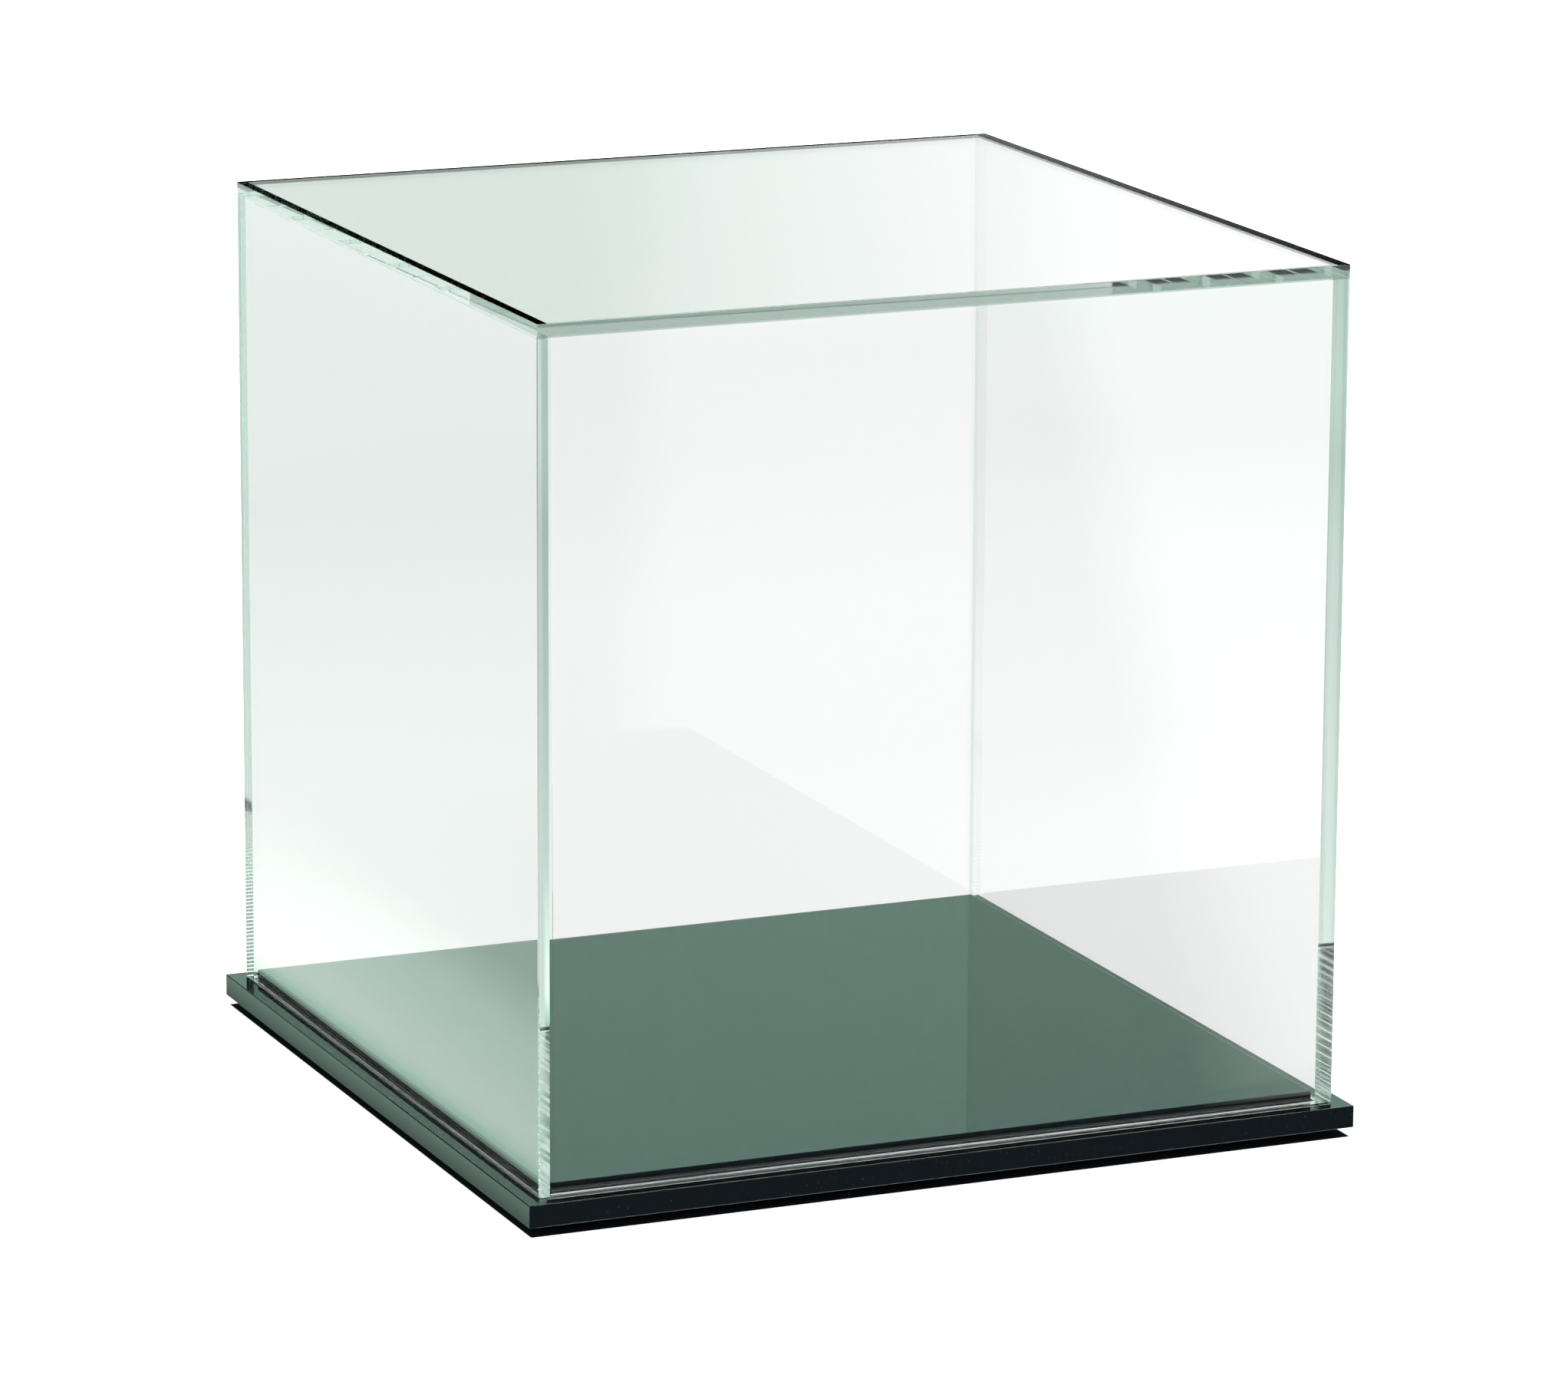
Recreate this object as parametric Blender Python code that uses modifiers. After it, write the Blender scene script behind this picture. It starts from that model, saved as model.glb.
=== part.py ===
"""Acrylic display cube: a clear five-panel cover that lifts off a gloss black base.

Metres, +Z up. The origin is on the ground under the middle of the object, the front panel
faces -Y and the left panel faces -X.
"""

import math

import bpy
from mathutils import Vector

# Cover: outer size, and the sheet that it is bonded from.
COVER_SIDE = 0.300
COVER_HEIGHT = 0.300
SHEET = 0.005

# Base: a black plate that stands proud of the cover, with a locating plate on it.
BASE_RIM = 0.006
BASE_THICKNESS = 0.008
LOCATOR_THICKNESS = 0.004
LOCATOR_CLEARANCE = 0.001

# Bumper feet: a truncated cone with a rounded lower edge.
FOOT_HEIGHT = 0.0035
FOOT_TOP_RADIUS = 0.0060
FOOT_BOTTOM_RADIUS = 0.0048
FOOT_ROUNDING = 0.0008
FOOT_INSET = 0.030
FOOT_PROFILE_STEPS = 4
FOOT_SEGMENTS = 40

# Gap between pieces that touch or are bonded, and the bevel of the polished sheet edges.
CONTACT_GAP = 0.0003
EDGE_BEVEL = 0.0003
EDGE_BEVEL_SEGMENTS = 2

COLLECTION_NAME = "acrylic_display_cube"

# Heights of the faces that stack up from the ground.
BASE_BOTTOM = FOOT_HEIGHT
BASE_TOP = BASE_BOTTOM + BASE_THICKNESS
COVER_BOTTOM = BASE_TOP + CONTACT_GAP
COVER_TOP = COVER_BOTTOM + COVER_HEIGHT
WALL_TOP = COVER_TOP - SHEET - CONTACT_GAP

BASE_SIDE = COVER_SIDE + 2 * BASE_RIM
COVER_INSIDE = COVER_SIDE - 2 * SHEET
LOCATOR_SIDE = COVER_INSIDE - 2 * LOCATOR_CLEARANCE
FOOT_OFFSET = BASE_SIDE / 2 - FOOT_INSET

CLEAR_ACRYLIC = {"colour": (0.86, 0.93, 0.90), "roughness": 0.03, "alpha": 0.25}
BLACK_ACRYLIC = {"colour": (0.012, 0.014, 0.016), "roughness": 0.08, "alpha": 1.0}
FOOT_RUBBER = {"colour": (0.03, 0.03, 0.03), "roughness": 0.7, "alpha": 1.0}


def clear_scene():
    """Remove every object of the open scene."""
    for old in list(bpy.data.objects):
        bpy.data.objects.remove(old, do_unlink=True)


def part_collection():
    """The collection that holds every sub-part."""
    collection = bpy.data.collections.new(COLLECTION_NAME)
    bpy.context.scene.collection.children.link(collection)
    return collection


def material(name, look):
    """A Principled material of the given colour, roughness and alpha. No piece is metal."""
    made = bpy.data.materials.new(name)
    made.use_nodes = True
    shader = made.node_tree.nodes["Principled BSDF"]
    shader.inputs["Base Color"].default_value = (*look["colour"], 1.0)
    shader.inputs["Roughness"].default_value = look["roughness"]
    shader.inputs["Metallic"].default_value = 0.0
    shader.inputs["Alpha"].default_value = look["alpha"]
    made.diffuse_color = (*look["colour"], look["alpha"])
    return made


def empty(collection, name, location):
    """An empty that carries the pieces of one body."""
    made = bpy.data.objects.new(name, None)
    made.location = location
    collection.objects.link(made)
    return made


def keep_in(collection, piece, parent, world_location):
    """Move a piece into the collection, under its parent, at a place given in world axes."""
    for holder in list(piece.users_collection):
        holder.objects.unlink(piece)
    collection.objects.link(piece)
    piece.parent = parent
    piece.location = Vector(world_location) - parent.location


def sheet(collection, name, parent, centre, size, look):
    """A flat sheet with lightly bevelled edges, given by its centre and outer size."""
    bpy.ops.mesh.primitive_cube_add(size=1.0)
    piece = bpy.context.object
    piece.name = name
    piece.scale = size
    bpy.ops.object.transform_apply(location=False, rotation=False, scale=True)
    bevel = piece.modifiers.new("edge_bevel", "BEVEL")
    bevel.width = EDGE_BEVEL
    bevel.segments = EDGE_BEVEL_SEGMENTS
    piece.data.materials.append(look)
    keep_in(collection, piece, parent, centre)
    return piece


def foot_profile():
    """Radius and height down the foot's outer side, from its top centre to its bottom centre."""
    top = FOOT_HEIGHT - CONTACT_GAP
    points = [(0.0, top), (FOOT_TOP_RADIUS, top)]
    for step in range(FOOT_PROFILE_STEPS + 1):
        angle = math.radians(90.0) * step / FOOT_PROFILE_STEPS
        radius = FOOT_BOTTOM_RADIUS - FOOT_ROUNDING * (1.0 - math.cos(angle))
        height = FOOT_ROUNDING * (1.0 - math.sin(angle))
        points.append((radius, height))
    points.append((0.0, 0.0))
    return points


def foot_mesh(look):
    """The open profile that each foot's Screw modifier turns about Z."""
    points = foot_profile()
    mesh = bpy.data.meshes.new("foot_profile")
    edges = [(index, index + 1) for index in range(len(points) - 1)]
    mesh.from_pydata([(radius, 0.0, height) for radius, height in points], edges, [])
    mesh.materials.append(look)
    return mesh


def foot(collection, name, parent, mesh, centre):
    """One bumper foot, standing on the ground."""
    piece = bpy.data.objects.new(name, mesh)
    bpy.context.scene.collection.objects.link(piece)
    turn = piece.modifiers.new("turn", "SCREW")
    turn.axis = "Z"
    turn.steps = FOOT_SEGMENTS
    turn.render_steps = FOOT_SEGMENTS
    turn.use_merge_vertices = True
    turn.merge_threshold = 0.00001
    turn.use_smooth_shade = True
    keep_in(collection, piece, parent, centre)
    return piece


def build_base(collection):
    """The black base: base plate, locating plate and four feet."""
    parent = empty(collection, "base", (0.0, 0.0, 0.0))
    black = material("black_acrylic", BLACK_ACRYLIC)
    rubber = material("foot_rubber", FOOT_RUBBER)
    base_centre = (0.0, 0.0, BASE_BOTTOM + BASE_THICKNESS / 2)
    sheet(collection, "base_plate", parent, base_centre, (BASE_SIDE, BASE_SIDE, BASE_THICKNESS), black)
    # The locating plate is bonded down, so the gap below it comes out of its thickness.
    locator_height = LOCATOR_THICKNESS - CONTACT_GAP
    locator_centre = (0.0, 0.0, BASE_TOP + CONTACT_GAP + locator_height / 2)
    locator_size = (LOCATOR_SIDE, LOCATOR_SIDE, locator_height)
    sheet(collection, "locating_plate", parent, locator_centre, locator_size, black)
    mesh = foot_mesh(rubber)
    for row, y_sign in (("front", -1), ("back", 1)):
        for column, x_sign in (("left", -1), ("right", 1)):
            centre = (x_sign * FOOT_OFFSET, y_sign * FOOT_OFFSET, 0.0)
            foot(collection, f"foot_{row}_{column}", parent, mesh, centre)


def build_cover(collection):
    """The clear cover: five bonded sheets, carried by an empty on the lifting axis."""
    parent = empty(collection, "cover", (0.0, 0.0, COVER_BOTTOM))
    clear = material("clear_acrylic", CLEAR_ACRYLIC)
    top_centre = (0.0, 0.0, COVER_TOP - SHEET / 2)
    sheet(collection, "top_panel", parent, top_centre, (COVER_SIDE, COVER_SIDE, SHEET), clear)
    wall_height = WALL_TOP - COVER_BOTTOM
    wall_middle = (WALL_TOP + COVER_BOTTOM) / 2
    wall_offset = (COVER_SIDE - SHEET) / 2
    # The side walls run the full depth, and the front and back walls fit between them.
    for name, sign in (("left_panel", -1), ("right_panel", 1)):
        centre = (sign * wall_offset, 0.0, wall_middle)
        sheet(collection, name, parent, centre, (SHEET, COVER_SIDE, wall_height), clear)
    between = COVER_INSIDE - 2 * CONTACT_GAP
    for name, sign in (("front_panel", -1), ("back_panel", 1)):
        centre = (0.0, sign * wall_offset, wall_middle)
        sheet(collection, name, parent, centre, (between, SHEET, wall_height), clear)


def main():
    clear_scene()
    collection = part_collection()
    build_base(collection)
    build_cover(collection)


main()
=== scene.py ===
"""Acrylic display cube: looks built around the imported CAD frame.

The five clear sheets are rebuilt as bonded cast acrylic: where two sheets meet, the faces carry a
"bonded" value that takes the change of refractive index away, as solvent cement does. Their open
edges keep the full index, so light runs along inside the sheets and tints their edges.
"""

import math

import bmesh
import bpy
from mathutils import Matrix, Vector


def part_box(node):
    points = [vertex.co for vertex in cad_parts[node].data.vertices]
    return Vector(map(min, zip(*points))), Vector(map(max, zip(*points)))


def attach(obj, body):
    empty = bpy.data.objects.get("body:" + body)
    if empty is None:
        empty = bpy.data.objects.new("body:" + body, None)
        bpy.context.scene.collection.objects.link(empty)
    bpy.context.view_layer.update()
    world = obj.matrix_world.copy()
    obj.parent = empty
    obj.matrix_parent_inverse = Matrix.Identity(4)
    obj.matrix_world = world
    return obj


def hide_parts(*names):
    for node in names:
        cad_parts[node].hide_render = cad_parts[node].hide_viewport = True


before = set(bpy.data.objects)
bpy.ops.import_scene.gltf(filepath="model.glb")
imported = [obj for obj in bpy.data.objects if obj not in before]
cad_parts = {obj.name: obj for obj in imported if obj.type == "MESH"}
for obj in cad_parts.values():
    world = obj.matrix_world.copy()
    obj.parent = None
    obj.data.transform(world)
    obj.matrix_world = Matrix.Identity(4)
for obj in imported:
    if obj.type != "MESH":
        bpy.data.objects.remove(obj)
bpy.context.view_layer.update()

# ---------------------------------------------------------------- numbers

MM = 0.001

# Camera: a long lens, from the front left and above.
CAMERA_PLACE = (-1.0283, -2.3967, 0.7680)
CAMERA_TURN_DEG = (76.483, -0.299, -23.219)
CAMERA_LENS_MM = 171.45
CAMERA_SENSOR_MM = 36.0
CAMERA_CLIP = (0.05, 200.0)

# Sheets: hairline between bonded faces, outer bevel, and the finer bevel along a bonded joint.
BOND_GAP = 0.02 * MM
OPEN_BEVEL = 0.25 * MM
JOINT_BEVEL = 0.06 * MM
SHARP_CORNER = 1.0  # radians: only corners sharper than this are bevelled

ACRYLIC_IOR = 1.49
BONDED_IOR = 1.0

# Painted shade: the dark strip along the top panel's upper edges.
RIM_WIDTH_LEFT = 3.3 * MM
RIM_WIDTH_RIGHT = 4.9 * MM
RIM_WIDTH_BACK = 3.0 * MM

# How rough each panel's sawn foot is, from 0, polished, to 1. The front panel's outer strip is
# polished.
FOOT_LEFT = 0.5
FOOT_RIGHT = 0.4
FOOT_FRONT = 1.0
FOOT_BACK = 0.3
FRONT_POLISHED_STRIP = 2.2 * MM

# Planes of the cover that its material refers to, a hair off the CAD faces they follow.
FACE_MARGIN = 0.05 * MM
COVER_FRONT_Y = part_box("top_panel")[0].y
COVER_BACK_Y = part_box("top_panel")[1].y
TOP_FRONT_Y = COVER_FRONT_Y + FACE_MARGIN
TOP_UNDERSIDE_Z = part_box("top_panel")[0].z
BACK_PANEL_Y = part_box("back_panel")[0].y - FACE_MARGIN
SIDE_WALL_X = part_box("right_panel")[0].x - FACE_MARGIN

# Colours of the clear sheet: the cast sheet's own trace of unevenness, the cement's tint in the
# joints, painted shade on the top front edge, and the green-grey that its absorption leaves.
CAST_TINTS = ((0.992, 1.0, 0.997, 1.0), (1.0, 1.0, 1.0, 1.0))
CEMENT_TINT = (0.93, 0.96, 0.95, 1.0)
CEMENT_TINT_BACK_RIGHT = (0.80, 0.87, 0.84, 1.0)
TOP_FRONT_PAINTED_SHADE = (0.40, 0.45, 0.43, 1.0)
SHEET_ABSORPTION = (0.05, 0.35, 0.24, 1.0)

# The painted shade strip: how much light it lets through at the front and at the back, and its hue.
STRIP_CLEAR_FRONT = 0.015
STRIP_CLEAR_BACK = 0.18
STRIP_RED = 0.75
STRIP_BLUE = 0.92

# The floor is a little below the feet, so that the two don't flicker.
FLOOR_REACH = 60.0
FLOOR_DROP = 0.02 * MM
PAPER_WHITE = (0.92, 0.92, 0.92, 1.0)
CONTACT_SHADOW = (0.004, 0.006, 0.007, 1.0)

# Where the floor's light changes, in metres. A Color Ramp runs from 0 to 1, so distances over the
# floor are divided by the reach that it covers.
COVER_LEFT_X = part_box("left_panel")[0].x
BASE_FRONT_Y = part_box("base_plate")[0].y
BASE_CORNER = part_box("base_plate")[1]
SEEN_REACH = 5.0
REFLECTED_REACH = 2.0


# ---------------------------------------------------------------- node helpers


def new_tree(material):
    """An empty node tree and its output node."""
    material.use_nodes = True
    tree = material.node_tree
    tree.nodes.clear()
    return tree, tree.nodes.new("ShaderNodeOutputMaterial")


def node(tree, kind, **values):
    """A node with the given properties."""
    made = tree.nodes.new(kind)
    for key, value in values.items():
        setattr(made, key, value)
    return made


def feed(socket, value):
    """Link a socket from another one, or set it to a fixed value."""
    if isinstance(value, bpy.types.NodeSocket):
        socket.id_data.links.new(value, socket)
    else:
        socket.default_value = value


def put(target, **values):
    """Feed a node's inputs by name, with _ for a space."""
    for key, value in values.items():
        feed(target.inputs[key.replace("_", " ")], value)


def maths(tree, operation, *values):
    """A Math node's output."""
    made = node(tree, "ShaderNodeMath", operation=operation)
    for socket, value in zip(made.inputs, values):
        feed(socket, value)
    return made.outputs[0]


def times(tree, first, second):
    """The product of two values, which is also "both" of two masks."""
    return maths(tree, "MULTIPLY", first, second)


def above(tree, value, limit):
    """1 where the value is above the limit, else 0."""
    return maths(tree, "GREATER_THAN", value, limit)


def below(tree, value, limit):
    """1 where the value is below the limit, else 0."""
    return maths(tree, "LESS_THAN", value, limit)


def either(tree, first, second):
    """The larger of two masks."""
    return maths(tree, "MAXIMUM", first, second)


def attribute(tree, name):
    """A face value of the mesh."""
    return node(tree, "ShaderNodeAttribute", attribute_name=name).outputs["Fac"]


def noise(tree, vector, scale, detail, roughness=0.5):
    """A Noise Texture's Factor output. The scale is in waves a metre."""
    made = node(tree, "ShaderNodeTexNoise")
    put(made, Vector=vector, Scale=scale, Detail=detail, Roughness=roughness)
    return made.outputs[0]


def ramp(tree, value, *stops):
    """A Color Ramp's colour, with stops as (position, colour)."""
    made = node(tree, "ShaderNodeValToRGB")
    elements = made.color_ramp.elements
    while len(elements) < len(stops):
        elements.new(1.0)
    for element, (position, colour) in zip(elements, stops):
        element.position = position
        element.color = (*colour, 1.0)
    feed(made.inputs[0], value)
    return made.outputs[0]


def spread(tree, value, low, high, to_low, to_high):
    """A Map Range node's output."""
    made = node(tree, "ShaderNodeMapRange")
    for socket, number in zip(made.inputs, (value, low, high, to_low, to_high)):
        feed(socket, number)
    return made.outputs[0]


def rising(tree, value, low, high):
    """0 up to low, 1 from high on."""
    return spread(tree, value, low, high, 0.0, 1.0)


def falling(tree, value, low, high):
    """1 up to low, 0 from high on."""
    return spread(tree, value, low, high, 1.0, 0.0)


def mix_colour(tree, factor, first, second, blend="MIX"):
    """A Mix node's colour. Its inputs 6 and 7 and its output 2 are the ones for colours."""
    made = node(tree, "ShaderNodeMix", data_type="RGBA", blend_type=blend)
    for index, value in ((0, factor), (6, first), (7, second)):
        feed(made.inputs[index], value)
    return made.outputs[2]


def mix_shader(tree, factor, first, second):
    """A Mix Shader node's output."""
    made = node(tree, "ShaderNodeMixShader")
    for socket, value in zip(made.inputs, (factor, first, second)):
        feed(socket, value)
    return made.outputs[0]


def axes_of(tree, vector):
    """The X, Y and Z of a vector."""
    made = node(tree, "ShaderNodeSeparateXYZ")
    feed(made.inputs[0], vector)
    return made.outputs


def stretched(tree, vector, factors):
    """A vector scaled along each axis."""
    made = node(tree, "ShaderNodeVectorMath", operation="MULTIPLY")
    feed(made.inputs[0], vector)
    feed(made.inputs[1], factors)
    return made.outputs[0]


def object_place(tree):
    """Coordinates that ride with the piece, in metres."""
    return node(tree, "ShaderNodeTexCoord").outputs["Object"]


# ---------------------------------------------------------------- materials


def sheet_roughness(tree, place, x):
    """Polished faces stay sharp; only a sawn edge is rough, in streaks along the blade's path."""
    polished = spread(tree, noise(tree, place, 9.0, 2.0), 0.3, 0.7, 0.004, 0.018)
    on_side_wall = above(tree, maths(tree, "ABSOLUTE", x), SIDE_WALL_X)
    along_x = stretched(tree, place, (0.03, 1.0, 1.0))
    along_y = stretched(tree, place, (1.0, 0.03, 1.0))
    streaks = noise(tree, mix_colour(tree, on_side_wall, along_x, along_y), 420.0, 2.0)
    rough = spread(tree, streaks, 0.35, 0.65, 0.34, 0.66)
    added = maths(tree, "SUBTRACT", rough, polished)
    return maths(tree, "MULTIPLY_ADD", added, attribute(tree, "sawn"), polished)


def sheet_tint(tree, place, axes, bonded):
    """Almost clear, with a trace of cement in the joints and painted shade on the top front edge."""
    x, y, z = axes
    at_back_right = times(tree, above(tree, x, SIDE_WALL_X), above(tree, y, BACK_PANEL_Y))
    cement = mix_colour(tree, at_back_right, CEMENT_TINT, CEMENT_TINT_BACK_RIGHT)
    cast = mix_colour(tree, noise(tree, place, 4.0, 1.0), *CAST_TINTS)
    tint = mix_colour(tree, bonded, cast, cement)
    # Painted shade: the top panel's front edge is tinted darker.
    at_top_front = times(tree, below(tree, y, TOP_FRONT_Y), above(tree, z, TOP_UNDERSIDE_Z))
    return mix_colour(tree, at_top_front, tint, TOP_FRONT_PAINTED_SHADE)


def painted_shade_strip(tree, y):
    """Painted shade along the top edges: a sharp dark refraction without glare, letting little light
    through.
    """
    clear = spread(
        tree, y, 0.8 * COVER_FRONT_Y, 0.8 * COVER_BACK_Y, STRIP_CLEAR_FRONT, STRIP_CLEAR_BACK
    )
    hue = node(tree, "ShaderNodeCombineColor")
    put(hue, Red=times(tree, clear, STRIP_RED), Green=clear, Blue=times(tree, clear, STRIP_BLUE))
    strip = node(tree, "ShaderNodeBsdfRefraction")
    put(strip, Color=hue.outputs[0], Roughness=0.0, IOR=ACRYLIC_IOR)
    return strip.outputs[0]


def painted_shade_share(tree, x, y):
    """How much of a face is painted shade strip: all of it at the left and back, less towards the back at
    the right.
    """
    # Painted shade: at the right the dark strip thins towards the back.
    right_shade_share = spread(tree, y, COVER_FRONT_Y, COVER_BACK_Y, 0.98, 0.74)
    share = spread(tree, above(tree, x, SIDE_WALL_X), 0.0, 1.0, 1.0, right_shade_share)
    share = times(tree, attribute(tree, "painted_shade_band"), share)
    inside = node(tree, "ShaderNodeNewGeometry").outputs["Backfacing"]
    return times(tree, share, maths(tree, "SUBTRACT", 1.0, inside))


def clear_acrylic():
    """Clear cast sheet: index 1.49, no index step where sheets are bonded, green-grey absorption."""
    made = bpy.data.materials.new("clear_acrylic_sheet")
    tree, output = new_tree(made)
    place = object_place(tree)
    axes = axes_of(tree, place)
    x, y, _ = axes
    bonded = attribute(tree, "bonded")
    shader = node(tree, "ShaderNodeBsdfPrincipled")
    put(
        shader,
        Base_Color=sheet_tint(tree, place, axes, bonded),
        Roughness=sheet_roughness(tree, place, x),
        IOR=spread(tree, bonded, 0.0, 1.0, ACRYLIC_IOR, BONDED_IOR),
        Transmission_Weight=1.0,
    )
    # Painted shade: the dark strip is mixed over the clear sheet along the top panel's upper edges.
    surface = mix_shader(tree, painted_shade_share(tree, x, y), shader.outputs[0], painted_shade_strip(tree, y))
    body = node(tree, "ShaderNodeVolumeAbsorption")
    put(body, Color=SHEET_ABSORPTION, Density=1.0)
    put(output, Surface=surface, Volume=body.outputs[0])
    return made


def black_acrylic():
    """Gloss black sheet: a deep polish with faint waviness and a little dust."""
    made = bpy.data.materials.new("black_acrylic_sheet")
    tree, output = new_tree(made)
    place = object_place(tree)
    shader = node(tree, "ShaderNodeBsdfPrincipled")
    patches = noise(tree, place, 14.0, 2.0)
    specks = noise(tree, place, 1400.0, 1.0, 0.4)
    dust = rising(tree, specks, 0.74, 0.80)
    colour = mix_colour(tree, dust, (0.0024, 0.0034, 0.0041, 1.0), (0.020, 0.022, 0.022, 1.0))
    polish = spread(tree, patches, 0.3, 0.7, 0.008, 0.020)
    roughness = maths(tree, "MULTIPLY_ADD", dust, 0.15, polish)
    put(shader, Base_Color=colour, Roughness=roughness, IOR=ACRYLIC_IOR)
    put(output, Surface=shader.outputs[0])
    return made


def foot_rubber():
    """Matt moulded rubber with a fine grain."""
    made = bpy.data.materials.new("foot_rubber_matt")
    tree, output = new_tree(made)
    place = object_place(tree)
    shader = node(tree, "ShaderNodeBsdfPrincipled")
    grain = noise(tree, place, 2500.0, 4.0, 0.6)
    patches = noise(tree, place, 300.0, 2.0)
    colour = mix_colour(tree, patches, (0.018, 0.018, 0.018, 1.0), (0.032, 0.032, 0.031, 1.0))
    bump = node(tree, "ShaderNodeBump")
    put(bump, Strength=0.35, Distance=0.05 * MM, Height=grain)
    roughness = spread(tree, grain, 0.3, 0.7, 0.62, 0.82)
    put(shader, Base_Color=colour, Roughness=roughness, Normal=bump.outputs[0])
    put(output, Surface=shader.outputs[0])
    return made


# ---------------------------------------------------------------- clear sheets


def sheet_piece(name, low, high, cuts, bonded_at, sawn_at, painted_shade_at, material):
    """A closed sheet from low to high, cut at the given (axis, place) planes.

    The three functions take a face's centre and normal, and say how far it is cemented, sawn or
    covered by the painted shade strip. Open outer edges are bevelled, and edges along a joint only just.
    """
    work = bmesh.new()
    bmesh.ops.create_cube(work, size=1.0)
    for vertex in work.verts:
        for axis in range(3):
            vertex.co[axis] = low[axis] if vertex.co[axis] < 0 else high[axis]
    for axis, place in cuts:
        spot = Vector((0, 0, 0))
        spot[axis] = place
        normal = Vector((0, 0, 0))
        normal[axis] = 1.0
        everything = list(work.verts) + list(work.edges) + list(work.faces)
        bmesh.ops.bisect_plane(work, geom=everything, plane_co=spot, plane_no=normal)
    work.normal_update()
    bonded = work.faces.layers.float.new("bonded")
    sawn = work.faces.layers.float.new("sawn")
    # This layer marks the faces that carry the painted shade strip.
    painted_shade_band = work.faces.layers.float.new("painted_shade_band")
    for face in work.faces:
        centre = face.calc_center_median()
        face[bonded] = bonded_at(centre, face.normal)
        face[sawn] = sawn_at(centre, face.normal)
        face[painted_shade_band] = painted_shade_at(centre, face.normal)

    def corner_edges(wanted):
        found = []
        for edge in work.edges:
            if len(edge.link_faces) != 2 or edge.calc_face_angle(0.0) < SHARP_CORNER:
                continue
            if max(face[bonded] for face in edge.link_faces) == wanted:
                found.append(edge)
        return found

    for wanted, width, segments in ((0.0, OPEN_BEVEL, 3), (1.0, JOINT_BEVEL, 1)):
        edges = corner_edges(wanted)
        if edges:
            bmesh.ops.bevel(
                work, geom=edges, offset=width, segments=segments, profile=0.5, affect="EDGES",
                clamp_overlap=True,
            )
    mesh = bpy.data.meshes.new(name)
    work.to_mesh(mesh)
    work.free()
    mesh.materials.append(material)
    piece = bpy.data.objects.new(name, mesh)
    bpy.context.scene.collection.objects.link(piece)
    return piece


def faces_along(part):
    """True for a face that looks along its axis, and not at a slant."""
    return part > 0.9


def build_cover(material):
    """The five sheets of the cover, each in the place of its CAD node."""
    top_low, top_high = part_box("top_panel")
    left_low, left_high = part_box("left_panel")
    right_low, right_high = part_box("right_panel")
    front_low, front_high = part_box("front_panel")
    back_low, back_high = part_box("back_panel")

    def never(centre, normal):
        return 0.0

    def top_bond(centre, normal):
        """Under the top panel, where it lies on the walls."""
        between_sides = left_high.x < centre.x < right_low.x
        between_ends = front_high.y < centre.y < back_low.y
        return float(faces_along(-normal.z) and not (between_sides and between_ends))

    def side_wall_bond(inward):
        """A side wall's top, and its inner face where an end wall meets it."""

        def bonded(centre, normal):
            at_end = not front_high.y < centre.y < back_low.y
            return float(faces_along(normal.z) or (faces_along(normal.x * inward) and at_end))

        return bonded

    def end_wall_bond(centre, normal):
        """An end wall's top and both its ends."""
        return float(faces_along(normal.z) or faces_along(abs(normal.x)))

    def foot(amount, outer=top_low.y):
        """A sawn lower edge, behind the plane y = outer."""

        def sawn(centre, normal):
            return amount if faces_along(-normal.z) and centre.y > outer else 0.0

        return sawn

    rim_left = top_low.x + RIM_WIDTH_LEFT
    rim_right = top_high.x - RIM_WIDTH_RIGHT
    rim_back = top_high.y - RIM_WIDTH_BACK

    def rim(centre, normal):
        """The upper face near its left, right and back edges, where the painted shade strip goes."""
        within = rim_left < centre.x < rim_right and centre.y < rim_back
        return float(faces_along(normal.z) and not within)

    # The end walls stand between the side walls, and the top lies on all four.
    wall_top = top_low.z - BOND_GAP
    x_low = left_high.x + BOND_GAP
    x_high = right_low.x - BOND_GAP
    polished_to = front_low.y + FRONT_POLISHED_STRIP
    end_cuts = [(1, front_high.y), (1, back_low.y)]
    rim_cuts = [(0, rim_left), (0, rim_right), (1, rim_back)]
    top_cuts = [(0, left_high.x), (0, right_low.x)] + end_cuts + rim_cuts
    plan = [
        ("top_panel", top_low, top_high, top_cuts, top_bond, never, rim),
        ("left_panel", left_low, Vector((left_high.x, left_high.y, wall_top)),
         end_cuts, side_wall_bond(1.0), foot(FOOT_LEFT), never),
        ("right_panel", right_low, Vector((right_high.x, right_high.y, wall_top)),
         end_cuts, side_wall_bond(-1.0), foot(FOOT_RIGHT), never),
        ("front_panel", Vector((x_low, front_low.y, front_low.z)), Vector((x_high, front_high.y, wall_top)),
         [(1, polished_to)], end_wall_bond, foot(FOOT_FRONT, polished_to), never),
        ("back_panel", Vector((x_low, back_low.y, back_low.z)), Vector((x_high, back_high.y, wall_top)),
         [], end_wall_bond, foot(FOOT_BACK), never),
    ]
    for node_name, low, high, cuts, bonded_at, sawn_at, painted_shade_at in plan:
        piece = sheet_piece(node_name + "_sheet", low, high, cuts, bonded_at, sawn_at, painted_shade_at, material)
        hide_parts(node_name)
        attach(piece, "cover")


# ---------------------------------------------------------------- base


def dress_base():
    """New materials on the CAD pieces of the base."""
    black = black_acrylic()
    rubber = foot_rubber()
    for name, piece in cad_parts.items():
        if name in ("base_plate", "locating_plate"):
            look = black
        elif name.startswith("foot_"):
            look = rubber
        else:
            continue
        piece.data.materials.clear()
        piece.data.materials.append(look)


# ---------------------------------------------------------------- surroundings


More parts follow.
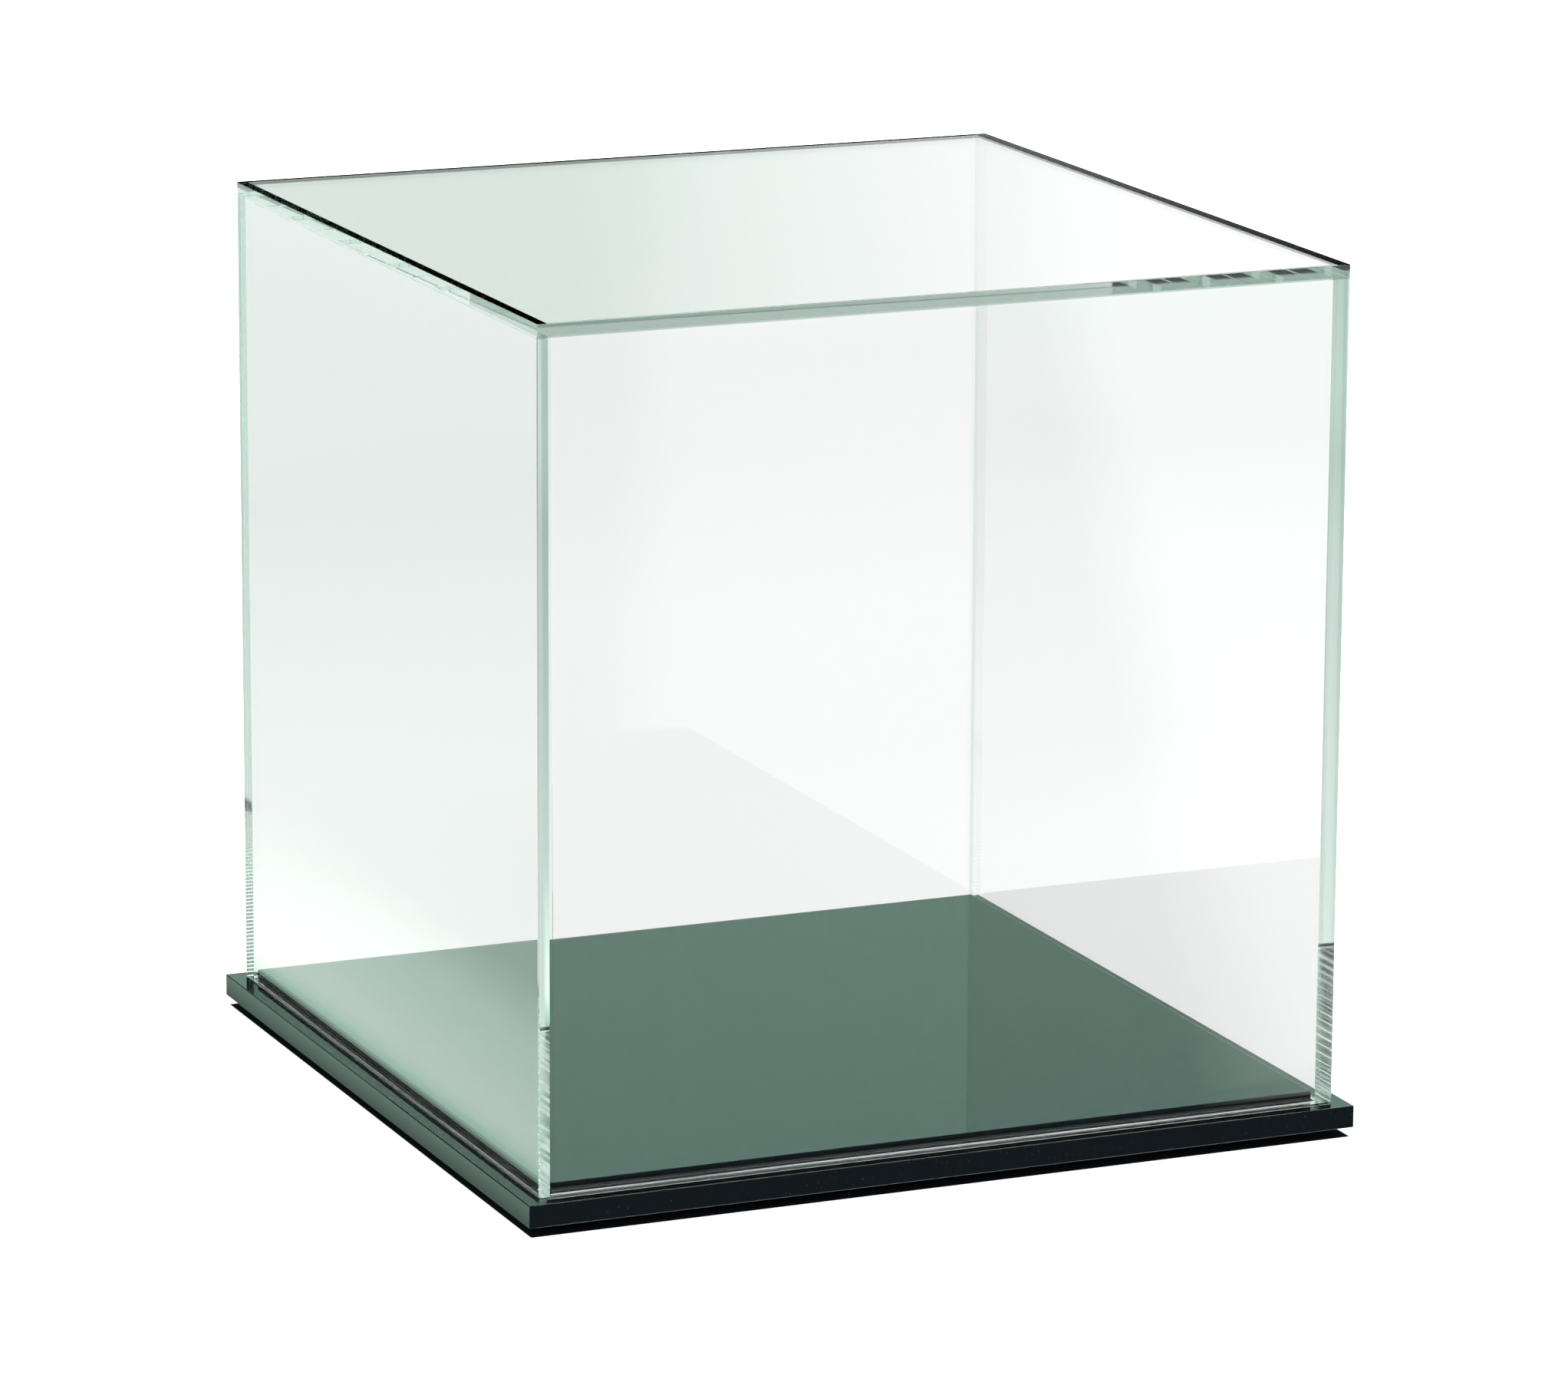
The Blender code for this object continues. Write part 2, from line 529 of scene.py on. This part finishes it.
def light_through(tree, x, y):
    """The floor seen through the sheets: a broad grey band behind, and the right a little lighter."""
    far = ramp(
        tree, times(tree, y, 1.0 / SEEN_REACH),
        (0.06, (1.05, 1.055, 1.05)),
        (0.14, (1.045, 1.05, 1.045)),
        (0.20, (0.985, 0.995, 0.99)),
        (0.25, (0.965, 0.98, 0.975)),
        (0.30, (0.985, 1.0, 0.995)),
        (0.36, (1.02, 1.04, 1.035)),
        (0.80, (0.99, 1.035, 1.02)),
    )
    near_right = times(tree, rising(tree, x, 0.10, 0.30), spread(tree, y, 0.25, 0.42, 0.06, 0.0))
    side = maths(tree, "ADD", spread(tree, x, -1.0, 2.0, 0.96, 1.04), near_right)
    light = node(tree, "ShaderNodeEmission")
    put(light, Color=far, Strength=side)
    return light.outputs[0]


def light_beside_left(tree, x):
    """The reflected floor left of the base: it peaks a few centimetres out, then fades."""
    return ramp(
        tree, maths(tree, "SUBTRACT", COVER_LEFT_X, x),
        (0.009, (0.28, 0.41, 0.34)),
        (0.018, (0.62, 0.94, 0.77)),
        (0.023, (0.78, 1.17, 0.97)),
        (0.028, (1.20, 1.42, 1.30)),
        (0.036, (1.26, 1.46, 1.34)),
        (0.080, (1.02, 1.24, 1.12)),
        (0.113, (0.66, 0.80, 0.74)),
        (0.20, (0.46, 0.54, 0.51)),
        (0.42, (0.36, 0.42, 0.40)),
    )


def light_elsewhere(tree, x, y):
    """The reflected floor behind and to the right, dimmer and greener towards the left."""
    behind = ramp(
        tree, times(tree, y, 1.0 / REFLECTED_REACH),
        (0.06, (1.50, 1.45, 1.47)),
        (0.10, (1.10, 1.12, 1.10)),
        (0.35, (0.90, 0.91, 0.91)),
        (0.50, (0.86, 0.87, 0.87)),
        (0.60, (1.05, 1.05, 1.05)),
    )
    fading = ramp(
        tree, maths(tree, "ADD", x, 1.0),
        (0.40, (0.55, 0.68, 0.62)),
        (0.70, (0.74, 0.84, 0.79)),
        (0.80, (0.87, 0.93, 0.90)),
    )
    return mix_colour(tree, 1.0, behind, fading, "MULTIPLY")


def lit_floor(tree, x, y, path):
    """1 where the reflected floor is lit, 0 on the dark strip in front of the base.

    The strip ends at a slanted line at the right, and well to either side. Close to the base it runs
    on past the slanted line, but only in what the outside of the case reflects.
    """
    indoors = above(tree, path.outputs["Transmission Depth"], 0.5)
    farther_out = either(tree, indoors, falling(tree, y, -0.24, -0.21))
    slant = maths(tree, "MULTIPLY_ADD", y, 0.42, x)
    to_the_right = maths(tree, "MINIMUM", rising(tree, slant, 0.04, 0.09), farther_out)
    behind_strip = rising(tree, y, BASE_FRONT_Y - 10.0 * MM, BASE_FRONT_Y + 4.0 * MM)
    lit = either(tree, behind_strip, to_the_right)
    return either(tree, lit, rising(tree, maths(tree, "ABSOLUTE", x), 0.70, 0.90))


def light_reflected(tree, x, y, path):
    """The floor seen in a reflection: dark close in front, bright beside the base at the left."""
    left_of_cover = falling(tree, x, COVER_LEFT_X - 1.0 * MM, COVER_LEFT_X + 1.0 * MM)
    near_left = times(tree, left_of_cover, falling(tree, y, 0.22, 0.45))
    around = mix_colour(tree, near_left, light_elsewhere(tree, x, y), light_beside_left(tree, x))
    strip = ramp(tree, times(tree, y, -1.0), (0.2, (0.05, 0.085, 0.10)), (0.35, (0.12, 0.13, 0.13)))
    light = node(tree, "ShaderNodeEmission")
    put(light, Color=mix_colour(tree, lit_floor(tree, x, y, path), strip, around), Strength=1.0)
    return light.outputs[0]


def paper_floor(tree, x, y):
    """What the camera sees directly: white paper, with the contact shadow in the gap below the base."""
    outside = either(
        tree,
        rising(tree, maths(tree, "ABSOLUTE", x), BASE_CORNER.x - 1.2 * MM, BASE_CORNER.x - 0.8 * MM),
        rising(tree, maths(tree, "ABSOLUTE", y), BASE_CORNER.y - 1.2 * MM, BASE_CORNER.y - 0.8 * MM),
    )
    paper = node(tree, "ShaderNodeBsdfDiffuse")
    put(paper, Color=mix_colour(tree, outside, CONTACT_SHADOW, PAPER_WHITE))
    return paper.outputs[0]


def floor_material():
    """Pale floor: white to the eye, and a lit studio floor to what is seen in or through a sheet."""
    made = bpy.data.materials.new("studio_floor")
    tree, output = new_tree(made)
    path = node(tree, "ShaderNodeLightPath")
    x, y, _ = axes_of(tree, node(tree, "ShaderNodeNewGeometry").outputs["Position"])
    mirrored = above(tree, path.outputs["Glossy Depth"], 0.5)
    unseen = mix_shader(tree, mirrored, light_through(tree, x, y), light_reflected(tree, x, y, path))
    whole = mix_shader(tree, path.outputs["Is Camera Ray"], unseen, paper_floor(tree, x, y))
    put(output, Surface=whole)
    made.cycles.emission_sampling = "NONE"
    return made


def build_floor():
    """One large pale sheet that the feet stand on."""
    mesh = bpy.data.meshes.new("studio_floor")
    work = bmesh.new()
    bmesh.ops.create_grid(work, x_segments=8, y_segments=8, size=FLOOR_REACH)
    work.to_mesh(mesh)
    work.free()
    mesh.materials.append(floor_material())
    piece = bpy.data.objects.new("studio_floor", mesh)
    piece.location.z = -FLOOR_DROP
    bpy.context.scene.collection.objects.link(piece)


def studio_walls(tree):
    """The studio as reflections show it: walls, a band above them, and a soft light overhead."""
    x, y, z = axes_of(tree, node(tree, "ShaderNodeTexCoord").outputs["Generated"])
    low = falling(tree, z, 0.20, 0.25)
    # Behind, the wall is dark at the left, and grows lighter to the right.
    ahead = maths(tree, "DIVIDE", x, maths(tree, "MAXIMUM", y, 0.2))
    low_back = ramp(
        tree, rising(tree, ahead, 0.35, 0.52),
        (0.05, (0.55, 0.67, 0.60)),
        (0.26, (0.55, 0.66, 0.595)),
        (0.38, (0.65, 0.75, 0.70)),
        (0.66, (0.92, 0.94, 0.93)),
        (0.81, (1.12, 1.12, 1.12)),
    )
    high_back = ramp(tree, z, (0.35, (0.58, 0.95, 0.775)), (0.45, (0.6, 0.66, 0.64)))
    back = mix_colour(tree, low, high_back, low_back)
    back = mix_colour(tree, rising(tree, x, -0.05, 0.05), (0.03, 0.035, 0.035, 1.0), back)
    # In front, the wall is bright low down and dark above.
    front = mix_colour(tree, low, (0.05, 0.05, 0.05, 1.0), (1.2, 1.25, 1.22, 1.0))
    walls = mix_colour(tree, rising(tree, y, -0.2, 0.2), front, back)
    return mix_colour(tree, rising(tree, z, 0.45, 0.65), walls, (3.2, 3.25, 3.2, 1.0))


def build_world():
    """Plain soft white light on the floor, and the studio's walls in reflections."""
    world = bpy.data.worlds.new("studio")
    bpy.context.scene.world = world
    world.use_nodes = True
    tree = world.node_tree
    tree.nodes.clear()
    output = tree.nodes.new("ShaderNodeOutputWorld")
    path = node(tree, "ShaderNodeLightPath")
    reflected = node(tree, "ShaderNodeBackground")
    put(reflected, Color=studio_walls(tree), Strength=1.0)
    plain = node(tree, "ShaderNodeBackground")
    lit = spread(tree, path.outputs["Diffuse Depth"], 0.0, 1.0, 1.05, 3.0)
    put(plain, Color=(1.0, 1.0, 1.0, 1.0), Strength=lit)
    mirrored = above(tree, path.outputs["Glossy Depth"], 0.5)
    direct = below(tree, path.outputs["Diffuse Depth"], 0.5)
    whole = mix_shader(tree, times(tree, mirrored, direct), plain.outputs[0], reflected.outputs[0])
    put(output, Surface=whole)
    world.cycles.sampling_method = "NONE"


def build_camera():
    """The photograph's view: the whole case, from the front left and slightly above."""
    data = bpy.data.cameras.new("camera")
    data.sensor_width = CAMERA_SENSOR_MM
    data.lens = CAMERA_LENS_MM
    data.clip_start, data.clip_end = CAMERA_CLIP
    camera = bpy.data.objects.new("camera", data)
    camera.location = CAMERA_PLACE
    camera.rotation_euler = [math.radians(angle) for angle in CAMERA_TURN_DEG]
    bpy.context.scene.collection.objects.link(camera)
    bpy.context.scene.camera = camera


def set_light_paths():
    """Long light paths, so that light can run the length of a sheet and back."""
    scene = bpy.context.scene
    scene.cycles.max_bounces = 64
    scene.cycles.glossy_bounces = 64
    scene.cycles.transmission_bounces = 64
    scene.cycles.transparent_max_bounces = 32
    scene.cycles.diffuse_bounces = 2
    scene.cycles.sample_clamp_indirect = 0.0
    scene.view_settings.view_transform = "Standard"


build_camera()
build_world()
build_floor()
set_light_paths()
dress_base()
build_cover(clear_acrylic())
